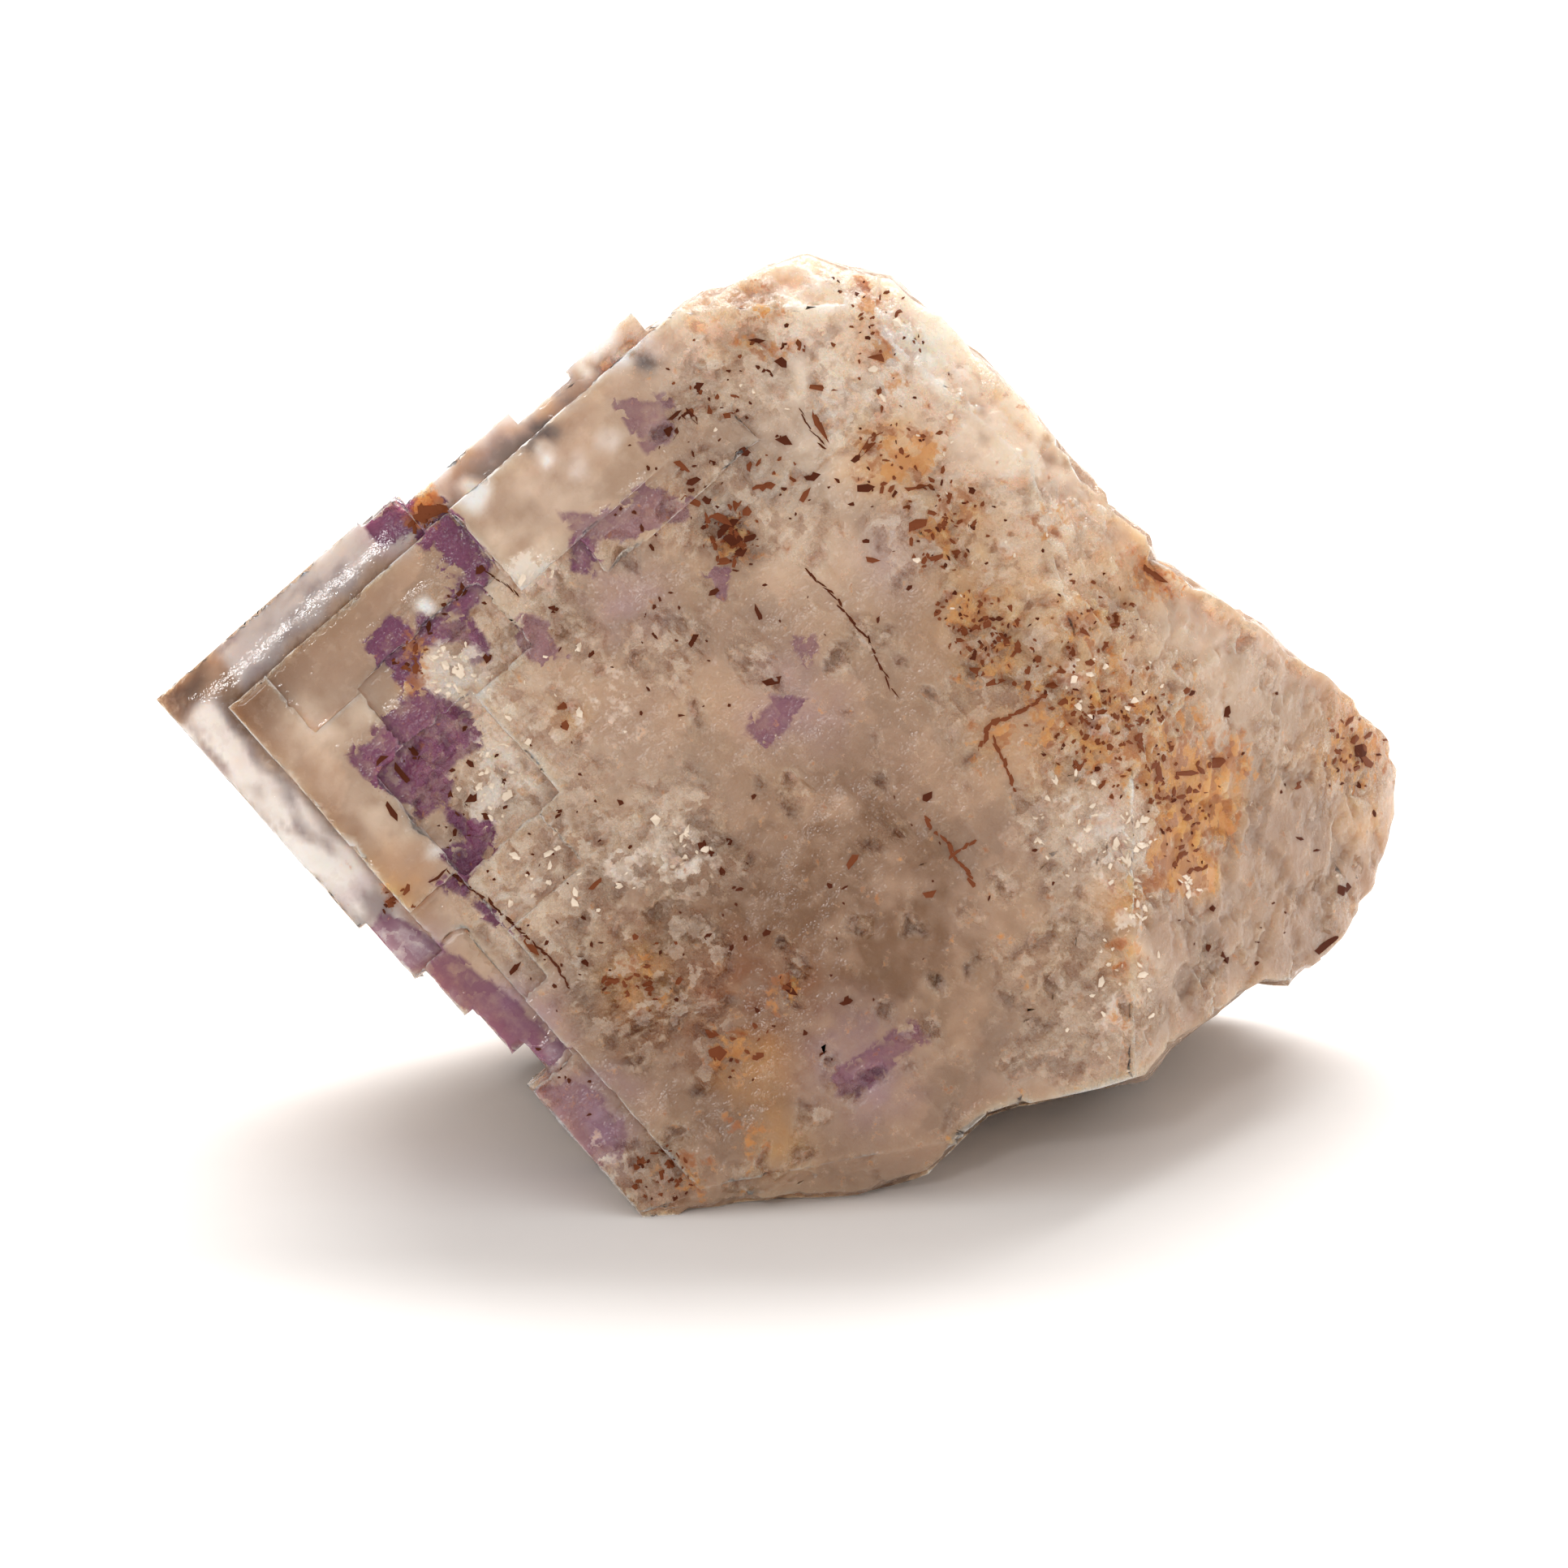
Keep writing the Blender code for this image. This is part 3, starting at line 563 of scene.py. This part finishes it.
# The flecks that stand out, dark and rusty: (rise, fall, length, width, degrees from rise towards fall).
DARK_FLECKS = (
    (12.0, 4.9, 0.5, 0.3, 20), (13.1, 4.7, 0.4, 0.3, 40), (10.1, 5.0, 0.6, 0.25, -55),
    (11.0, 7.5, 0.4, 0.3, 85), (5.1, 7.8, 0.6, 0.3, 10), (6.3, 8.5, 0.6, 0.25, 100),
    (5.4, 8.8, 1.0, 0.2, 90), (7.7, 10.2, 0.6, 0.25, 80), (6.8, 11.3, 0.6, 0.25, 0),
    (6.8, 12.2, 0.4, 0.3, 100), (4.1, 9.5, 0.8, 0.2, 95), (14.3, 7.8, 0.5, 0.4, 40),
    (24.4, 5.0, 0.5, 0.4, -50), (27.4, 5.1, 0.7, 0.3, 30), (27.6, 6.5, 0.5, 0.35, 85),
    (22.4, 5.6, 0.5, 0.3, 100), (23.0, 5.2, 0.6, 0.2, 5), (23.5, 5.6, 0.6, 0.2, 90),
    (24.1, 8.1, 0.4, 0.3, 40), (25.6, 8.8, 0.5, 0.3, 60), (21.8, 7.6, 0.5, 0.3, 40),
    (25.5, 10.6, 0.7, 0.3, 25), (26.8, 12.4, 0.5, 0.3, 40), (27.3, 11.3, 0.4, 0.3, 0),
    (21.5, 10.4, 0.7, 0.6, 0), (22.0, 10.9, 0.5, 0.4, 40), (21.3, 9.9, 0.5, 0.3, -40),
    (21.8, 9.9, 0.6, 0.4, 10), (21.4, 11.0, 0.5, 0.3, 20), (19.5, 11.5, 0.4, 0.3, 40),
    (20.3, 13.3, 0.6, 0.2, 100), (17.6, 12.4, 0.6, 0.25, -10), (18.9, 15.7, 0.6, 0.3, 20),
    (27.3, 19.8, 0.6, 0.2, 40), (25.7, 20.2, 0.5, 0.3, -40), (5.9, 19.1, 0.5, 0.2, 95),
    (12.5, 18.8, 0.5, 0.3, -30), (13.4, 19.4, 0.3, 0.25, -40), (11.3, 25.4, 0.5, 0.25, 80),
    (12.7, 27.3, 0.6, 0.2, 25), (20.5, 23.3, 0.4, 0.3, -20), (31.8, 28.7, 0.4, 0.25, -40),
    (25.2, 36.0, 0.4, 0.25, 100), (30.7, 37.2, 0.5, 0.4, -20), (34.9, 33.5, 0.6, 0.5, -30),
    (28.8, 38.4, 1.2, 0.3, 5), (3.6, 17.5, 0.6, 0.25, -5),
)
RUST_FLECKS = (
    (12.0, 10.9, 0.5, 0.3, 10), (11.6, 11.6, 0.4, 0.3, -40), (1.8, 12.2, 0.8, 0.25, 10),
    (2.5, 12.3, 0.6, 0.2, -20), (23.9, 8.7, 0.5, 0.25, -40), (21.9, 6.9, 0.6, 0.25, 80),
    (24.8, 11.0, 0.6, 0.25, -10), (28.1, 11.2, 1.7, 0.3, -5), (27.1, 9.2, 1.3, 0.3, 105),
    (28.1, 8.2, 1.0, 0.25, 50), (28.6, 6.4, 0.6, 0.25, 100), (30.6, 8.8, 0.8, 0.25, 50),
    (28.3, 13.7, 0.8, 0.2, 30), (27.4, 14.8, 0.8, 0.4, 20), (26.9, 16.3, 1.3, 0.3, 10),
    (25.1, 14.7, 0.6, 0.25, 40), (25.3, 20.8, 0.7, 0.3, 60), (25.5, 21.6, 0.8, 0.25, 25),
    (21.7, 9.5, 1.0, 0.4, 70), (21.3, 8.3, 0.8, 0.3, 60), (23.6, 9.5, 0.6, 0.2, 20),
    (20.7, 10.9, 0.7, 0.3, 40), (8.3, 17.1, 0.8, 0.2, -10), (4.7, 17.3, 1.1, 0.2, 85),
    (6.3, 20.5, 0.6, 0.2, 60), (7.2, 21.5, 0.5, 0.2, 20), (8.2, 22.2, 0.5, 0.25, -30),
    (7.8, 24.6, 0.5, 0.3, 60), (7.5, 25.4, 0.6, 0.5, 40), (16.6, 23.2, 0.8, 0.25, -5),
    (18.0, 26.2, 0.5, 0.25, 20), (11.4, 25.3, 0.7, 0.25, 30), (29.5, 22.3, 0.8, 0.2, 80),
    (33.2, 22.6, 1.4, 0.3, 75), (28.9, 29.4, 0.9, 0.3, 40), (30.1, 29.9, 1.1, 0.3, 20),
    (32.0, 32.8, 0.5, 0.3, -20), (34.8, 34.0, 0.5, 0.3, 100), (13.1, 1.6, 0.8, 0.5, 50),
    (12.7, 1.5, 0.6, 0.4, 40), (13.6, 1.9, 0.5, 0.35, 70), (8.6, 5.9, 0.5, 0.25, -40),
    (9.1, 5.3, 0.4, 0.25, -20),
)
# Cracks filled with iron oxide, rusty where wide and dark where narrow: (width, points of rise and fall).
RUSTY_CRACK = 0.13
CRACKS = (
    (0.17, ((19.9, 23.7), (19.8, 25.4), (19.6, 27.2))), (0.15, ((19.7, 25.7), (20.2, 25.8), (20.8, 25.8))),
    (0.20, ((26.9, 23.4), (25.7, 23.2), (24.4, 22.8), (23.3, 23.2))),
    (0.15, ((24.0, 23.1), (23.8, 24.2), (23.2, 25.4))),
    (0.10, ((22.9, 13.3), (23.0, 14.6), (22.9, 15.6), (22.9, 16.9), (22.5, 18.3), (22.2, 19.4))),
    (0.12, ((3.4, 12.7), (4.2, 12.8), (4.6, 14.7), (4.8, 16.8), (5.0, 18.3), (4.8, 19.5))),
    (0.07, ((13.3, 4.9), (13.6, 6.5))), (0.07, ((26.9, 8.2), (26.7, 9.2), (26.6, 10.2))),
)
# Where crumbs lie close together: (rise, fall, reach, how many).
RUSTY_CLUSTERS = (
    (27.7, 24.7, 2.2, 60), (28.5, 27.0, 2.2, 60), (26.6, 20.3, 1.6, 50), (26.4, 18.9, 1.0, 26),
    (28.2, 15.6, 1.5, 50), (28.6, 12.2, 1.6, 26), (28.2, 30.2, 1.3, 34), (26.4, 32.0, 0.8, 14),
    (34.8, 33.4, 1.2, 30), (30.2, 22.5, 1.6, 22), (21.6, 10.2, 1.0, 40), (8.6, 5.6, 0.7, 16),
    (2.6, 27.6, 1.0, 30), (7.4, 21.2, 1.4, 20), (25.3, 5.3, 1.8, 12), (8.4, 26.0, 1.2, 10),
    (31.0, 8.0, 1.8, 22), (1.9, 12.4, 0.6, 8), (12.6, 1.7, 0.5, 10), (24.9, 9.4, 1.0, 8),
)
# Specks that lie on their own over the rest of the face, listed the same way.
LOOSE_FLECKS = (
    (9.0, 14.0, 3.0, 22), (14.5, 12.5, 3.5, 10), (23.5, 6.5, 2.6, 16), (24.0, 13.5, 3.6, 10),
    (5.5, 18.5, 1.8, 14), (20.0, 9.0, 2.4, 14), (31.0, 8.0, 2.8, 16), (12.0, 26.0, 4.0, 14),
    (27.0, 36.0, 3.0, 8), (33.0, 33.0, 3.0, 12), (12.0, 20.0, 3.0, 12), (28.0, 18.0, 3.0, 14),
    (7.0, 10.0, 2.0, 8), (21.0, 25.0, 3.5, 8), (2.0, 22.0, 3.0, 8), (27.0, 12.5, 1.1, 6),
    (25.0, 10.8, 1.2, 5), (22.5, 6.0, 1.5, 7), (11.6, 5.0, 1.2, 6), (6.2, 11.5, 1.3, 7),
    (17.4, 12.2, 1.6, 6), (12.2, 24.6, 2.0, 5), (27.4, 5.8, 0.9, 5), (26.0, 35.5, 1.8, 4),
)
WHITE_CLUSTERS = (
    (9.7, 7.3, 1.1, 34), (8.9, 10.8, 1.2, 14), (7.2, 12.0, 1.2, 14), (24.6, 28.4, 1.8, 30),
    (25.6, 30.2, 1.2, 22), (24.2, 31.6, 0.9, 12), (26.2, 32.9, 0.4, 10), (11.9, 18.6, 0.8, 12),
    (9.5, 16.5, 2.0, 10), (14.6, 6.4, 0.6, 6), (28.2, 24.4, 1.2, 10), (30.2, 26.0, 1.6, 6),
    (30.6, 10.5, 2.4, 8), (22.3, 33.5, 1.2, 10), (28.5, 17.5, 2.4, 8), (6.5, 15.5, 1.6, 8),
    (13.0, 11.0, 2.6, 6), (26.0, 6.5, 2.4, 6), (20.0, 35.0, 1.6, 8),
)
BEFORE_FACE = -20.0
pick = random.Random(7)


def on_skin(rise, fall):
    """The point of the skin that lies straight behind a place on the cube face, and how it faces."""
    before_face = Vector((rise * MM, BEFORE_FACE * MM, -fall * MM))
    spot, facing, _, _ = surface.ray_cast(before_face, Vector((0.0, 1.0, 0.0)))
    return spot, facing


def lay_crumb(heap, rise, fall, length, width, turn, proud):
    """Lays a small angular crumb in the skin."""
    corners = 5
    cos_turn, sin_turn = math.cos(turn), math.sin(turn)
    ring = []
    for corner in range(corners):
        angle = math.tau * (corner + pick.uniform(-0.25, 0.25)) / corners
        size = pick.uniform(0.55, 1.25)
        ahead, aside = 0.5 * length * size * math.cos(angle), 0.5 * width * size * math.sin(angle)
        corner_rise = rise + ahead * cos_turn - aside * sin_turn
        corner_fall = fall + ahead * sin_turn + aside * cos_turn
        spot, facing = on_skin(corner_rise, corner_fall)
        if spot is None:
            return
        ring.append((spot, facing))
    middle, facing = on_skin(rise, fall)
    if middle is None or max((spot - middle).length for spot, _ in ring) > 2.0 * length * MM:
        return
    top = [heap.verts.new(spot + out * proud * 0.4 * MM) for spot, out in ring]
    bottom = [heap.verts.new(spot - out * 0.1 * MM) for spot, out in ring]
    peak = heap.verts.new(middle + facing * proud * pick.uniform(0.6, 1.4) * MM)
    for one in range(corners):
        other = (one + 1) % corners
        heap.faces.new((top[one], top[other], peak))
        heap.faces.new((top[other], top[one], bottom[one], bottom[other]))
    heap.faces.new(bottom)


CRACK_PIECE, CRACK_PROUD = 0.3, 0.03


def lay_crack(heap, width, points):
    """Lays a chain of narrow crumbs along a crack."""
    for (a, c), (b, d) in zip(points, points[1:]):
        length = math.hypot(b - a, d - c)
        pieces = max(int(length / CRACK_PIECE), 1)
        turn = math.atan2(d - c, b - a)
        for piece in range(pieces):
            share = (piece + 0.5) / pieces
            rise, fall = a + (b - a) * share, c + (d - c) * share
            swerve = 0.12 * noise.noise(Vector((rise * 2.2, 0.0, fall * 2.2)))
            piece_width = width * pick.uniform(0.8, 1.5)
            piece_turn = turn + pick.uniform(-0.25, 0.25)
            piece_length = 1.7 * length / pieces
            lay_crumb(heap, rise + swerve, fall + swerve, piece_length, piece_width, piece_turn, CRACK_PROUD)


def scatter(heap, clusters, largest, proud):
    """Scatters crumbs, most of them near the middle of each cluster and lying along the cube's edges."""
    for rise, fall, reach, count in clusters:
        for _ in range(count):
            off, way = reach * 1.25 * pick.random() ** 0.7, pick.uniform(0.0, math.tau)
            length = largest * (0.35 + 0.65 * pick.random() ** 2)
            turn = math.radians(pick.choice((0.0, 90.0, 45.0, -45.0)) + pick.uniform(-18.0, 18.0))
            lay_crumb(heap, rise + off * math.cos(way), fall + off * math.sin(way), length,
                      length * pick.uniform(0.35, 0.8), turn, proud)


def heap_of(name, heap, colour, roughness, shine):
    """Makes one mesh of a heap of crumbs, in its own material."""
    bmesh.ops.recalc_face_normals(heap, faces=heap.faces)
    heap.transform(STANDING)
    mesh = bpy.data.meshes.new(name)
    heap.to_mesh(mesh)
    heap.free()
    pile = bpy.data.objects.new(name, mesh)
    bpy.context.scene.collection.objects.link(pile)
    material = bpy.data.materials.new(name)
    material.use_nodes = True
    crumb_shader = material.node_tree.nodes["Principled BSDF"]
    crumb_shader.inputs["Base Color"].default_value = (*colour, 1.0)
    crumb_shader.inputs["Roughness"].default_value = roughness
    crumb_shader.inputs["Specular IOR Level"].default_value = shine
    mesh.materials.append(material)
    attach(pile, "root")


dark_heap, rust_heap, white_heap = bmesh.new(), bmesh.new(), bmesh.new()
for rise, fall, length, width, turn in DARK_FLECKS:
    lay_crumb(dark_heap, rise, fall, 1.35 * length, 1.35 * width, math.radians(turn), 0.04)
for rise, fall, length, width, turn in RUST_FLECKS:
    lay_crumb(rust_heap, rise, fall, 1.25 * length, 1.25 * width, math.radians(turn), 0.05)
for width, points in CRACKS:
    lay_crack(rust_heap if width > RUSTY_CRACK else dark_heap, width, points)
scatter(dark_heap, LOOSE_FLECKS, 0.42, 0.03)
scatter(dark_heap, [(a, c, reach, count // 4) for a, c, reach, count in RUSTY_CLUSTERS], 0.36, 0.03)
scatter(rust_heap, RUSTY_CLUSTERS, 0.5, 0.04)
scatter(white_heap, WHITE_CLUSTERS, 0.55, 0.07)
heap_of("dark_flecks", dark_heap, DARK_IRON, 0.75, 0.1)
heap_of("rust_crumbs", rust_heap, RUSTY_IRON, 0.65, 0.2)
heap_of("white_crumbs", white_heap, LOOSE_FLUORITE, 0.2, 0.5)

# The table
# A plain white sheet, seen only as a pale floor with the crystal's soft shadow.
TABLE_REACH = 1.5
table_mesh = bpy.data.meshes.new("table")
sheet = bmesh.new()
bmesh.ops.create_grid(sheet, x_segments=2, y_segments=2, size=TABLE_REACH)
sheet.to_mesh(table_mesh)
sheet.free()
table = bpy.data.objects.new("table", table_mesh)
bpy.context.scene.collection.objects.link(table)
paper = bpy.data.materials.new("table_paper")
paper.use_nodes = True
paper_tree = paper.node_tree
paper_shader = paper_tree.nodes["Principled BSDF"]
fibre = put(paper_tree, "ShaderNodeTexNoise", {"Scale": 900.0, "Detail": 2.0})
paper_white = tint(paper_tree, fibre.outputs["Fac"], (0.90, 0.885, 0.875), (0.92, 0.91, 0.90))
paper_tree.links.new(paper_white, paper_shader.inputs["Base Color"])
paper_shader.inputs["Roughness"].default_value = 0.9
table_mesh.materials.append(paper)

# The light
# A wide soft lamp hangs above and behind the crystal, in a bright white room, and a small one stands in
# front and to the left, where a window would be.
room = bpy.data.worlds.new("room")
bpy.context.scene.world = room
room.use_nodes = True
room.node_tree.nodes["Background"].inputs["Color"].default_value = (1.0, 0.955, 0.92, 1.0)
room.node_tree.nodes["Background"].inputs["Strength"].default_value = 0.78


def soft_lamp(name, place, aim, width, height, watts, colour):
    """A soft lamp that looks at a point."""
    lamp_data = bpy.data.lights.new(name, "AREA")
    lamp_data.shape = "RECTANGLE"
    lamp_data.size, lamp_data.size_y = width, height
    lamp_data.energy = watts
    lamp_data.color = colour
    lamp = bpy.data.objects.new(name, lamp_data)
    bpy.context.scene.collection.objects.link(lamp)
    lamp.location = place
    lamp.rotation_euler = (Vector(aim) - Vector(place)).to_track_quat("-Z", "Y").to_euler()


soft_lamp("overhead", (0.0, 0.38, 0.46), (0.0, 0.0, 0.01), 0.66, 0.26, 5.8, (1.0, 0.985, 0.97))
soft_lamp("window", (-0.22, -0.98, 0.62), (0.0, 0.0, 0.015), 0.12, 0.12, 1.5, (1.0, 0.99, 0.98))

# The camera
# It looks straight at the cube face from well away, a little from above, and sees as much as the photo does.
LOOK_DOWN = math.radians(20.0)
CAMERA_DISTANCE = 1.2
SEEN_WIDTH = 62.52 * MM
CORNER_TO_MIDDLE = (25.05 * MM, -3.37 * MM)

right = Vector((1.0, 0.0, 0.0))
up = Vector((0.0, math.sin(LOOK_DOWN), math.cos(LOOK_DOWN)))
towards = Vector((0.0, -math.cos(LOOK_DOWN), math.sin(LOOK_DOWN)))
middle = STANDING.translation + right * CORNER_TO_MIDDLE[0] + up * CORNER_TO_MIDDLE[1]
camera_data = bpy.data.cameras.new("camera")
camera_data.sensor_width = 36.0
camera_data.lens = 36.0 * CAMERA_DISTANCE / SEEN_WIDTH
camera_data.clip_start = 0.01
camera_data.clip_end = 20.0
camera = bpy.data.objects.new("camera", camera_data)
bpy.context.scene.collection.objects.link(camera)
camera.location = middle + towards * CAMERA_DISTANCE
camera.rotation_euler = (math.radians(90.0) - LOOK_DOWN, 0.0, 0.0)
bpy.context.scene.camera = camera
bpy.context.scene.view_settings.view_transform = "Standard"
bounces = bpy.context.scene.cycles
bounces.max_bounces = 5
bounces.transmission_bounces = 2
bounces.diffuse_bounces = 2
bounces.glossy_bounces = 2
